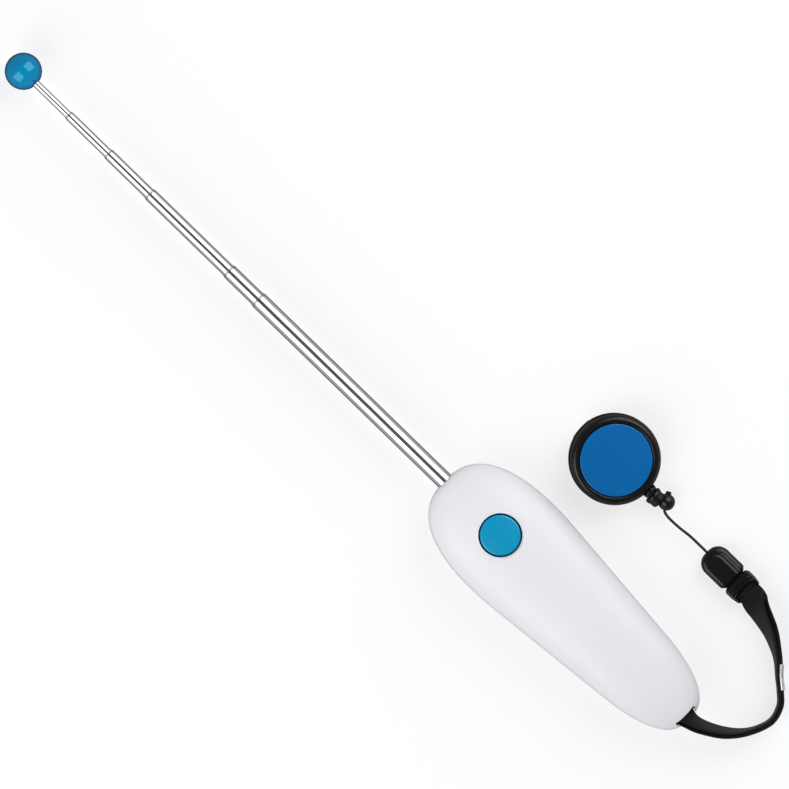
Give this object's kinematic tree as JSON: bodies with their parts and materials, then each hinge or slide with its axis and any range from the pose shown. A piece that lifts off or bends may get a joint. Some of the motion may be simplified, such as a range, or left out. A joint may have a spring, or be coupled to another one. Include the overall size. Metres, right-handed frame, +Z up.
{
  "type": "training target stick",
  "caption": "Telescopic chrome target stick with a ball tip, a clicker button in the handle, a webbing wrist loop and a retractable cord reel.",
  "frame": {"origin": "centre of the flat back of the handle, on the surface that it lies on", "axes": "+X along the stick from the handle to the ball, +Z up out of the button, +Y to the side away from the reel"},
  "size_m": [0.3526, 0.0834, 0.0243],
  "materials": {
    "housing": "satin pale lavender white",
    "black_plastic": "satin black",
    "blue_button": "glossy bright blue",
    "blue_ball": "high gloss blue",
    "blue_face": "glossy blue",
    "chrome": "polished plate",
    "spring_steel": "bright steel",
    "brass": "plain",
    "webbing": "black woven webbing",
    "cord": "black braided cord"
  },
  "bodies": {
    "handle": {"upper_shell": "housing", "lower_shell": "housing", "housing_screw_1": "spring_steel", "housing_screw_2": "spring_steel", "housing_screw_3": "spring_steel", "housing_screw_4": "spring_steel", "guide_tube": "spring_steel", "clicker_frame": "black_plastic", "leaf_rivet": "brass", "strap_pin": "spring_steel", "strap_inner": "webbing", "strap_outer": "webbing", "strap_crimp": "chrome", "buckle_plug": "black_plastic"},
    "section_1": {"tube_1": "chrome", "friction_ring_1": "brass"},
    "section_2": {"tube_2": "chrome", "friction_ring_2": "brass"},
    "section_3": {"tube_3": "chrome", "friction_ring_3": "brass"},
    "section_4": {"tube_4": "chrome", "friction_ring_4": "brass"},
    "section_5": {"tube_5": "chrome", "friction_ring_5": "brass"},
    "tip": {"tip_rod": "chrome", "friction_ring_6": "brass", "target_ball": "blue_ball"},
    "button": {"click_button": "blue_button"},
    "leaf": {"click_leaf": "spring_steel"},
    "reel": {"buckle_socket": "black_plastic", "reel_cord": "cord", "cord_bead": "black_plastic", "cord_nozzle": "black_plastic", "reel_case_front": "black_plastic", "reel_case_back": "black_plastic", "reel_face_disc": "blue_face", "reel_spring": "spring_steel", "reel_axle": "spring_steel", "clip_base": "spring_steel"},
    "spool": {"reel_spool": "black_plastic", "cord_winding": "cord"},
    "clip": {"belt_clip": "spring_steel"}
  },
  "joints": [
    {"name": "stick_slide_1", "type": "slide", "parent": "handle", "child": "section_1", "axis": [1, 0, 0], "range_m": [-0.0897, 0]},
    {"name": "stick_slide_2", "type": "slide", "parent": "section_1", "child": "section_2", "axis": [1, 0, 0], "range_m": [-0.0132, 0.0748]},
    {"name": "stick_slide_3", "type": "slide", "parent": "section_2", "child": "section_3", "axis": [1, 0, 0], "range_m": [-0.0374, 0.0506]},
    {"name": "stick_slide_4", "type": "slide", "parent": "section_3", "child": "section_4", "axis": [1, 0, 0], "range_m": [-0.0191, 0.0689]},
    {"name": "stick_slide_5", "type": "slide", "parent": "section_4", "child": "section_5", "axis": [1, 0, 0], "range_m": [-0.0183, 0.0697]},
    {"name": "tip_slide", "type": "slide", "parent": "section_5", "child": "tip", "axis": [1, 0, 0], "range_m": [-0.0143, 0.0737]},
    {"name": "button_press", "type": "slide", "parent": "handle", "child": "button", "axis": [0, 0, -1], "range_m": [0, 0.0015], "stiffness_N_per_m": 1500},
    {"name": "leaf_flex", "type": "hinge", "parent": "handle", "child": "leaf", "pos_m": [0.0457, 0, 0.0177], "axis": [0, -1, 0], "range_deg": [0, 6.7]},
    {"name": "buckle_release", "type": "slide", "parent": "handle", "child": "reel", "axis": [1, 0, 0], "range_m": [0, 0.012]},
    {"name": "spool_turn", "type": "hinge", "parent": "reel", "child": "spool", "pos_m": [0.0222, -0.0468, 0.00749], "axis": [-0.1391, -0.0049, 0.9903], "range_deg": [0, 2880], "stiffness_Nm_per_rad": 0.0002},
    {"name": "clip_flex", "type": "hinge", "parent": "reel", "child": "clip", "pos_m": [0.03598, -0.04632, 0.00422], "axis": [0.0349, -0.9994, 0], "range_deg": [0, 8], "stiffness_Nm_per_rad": 0.3}
  ],
  "couplings": [
    {"joint": "leaf_flex", "follows": "button_press", "rad_per_m": 76.923}
  ]
}
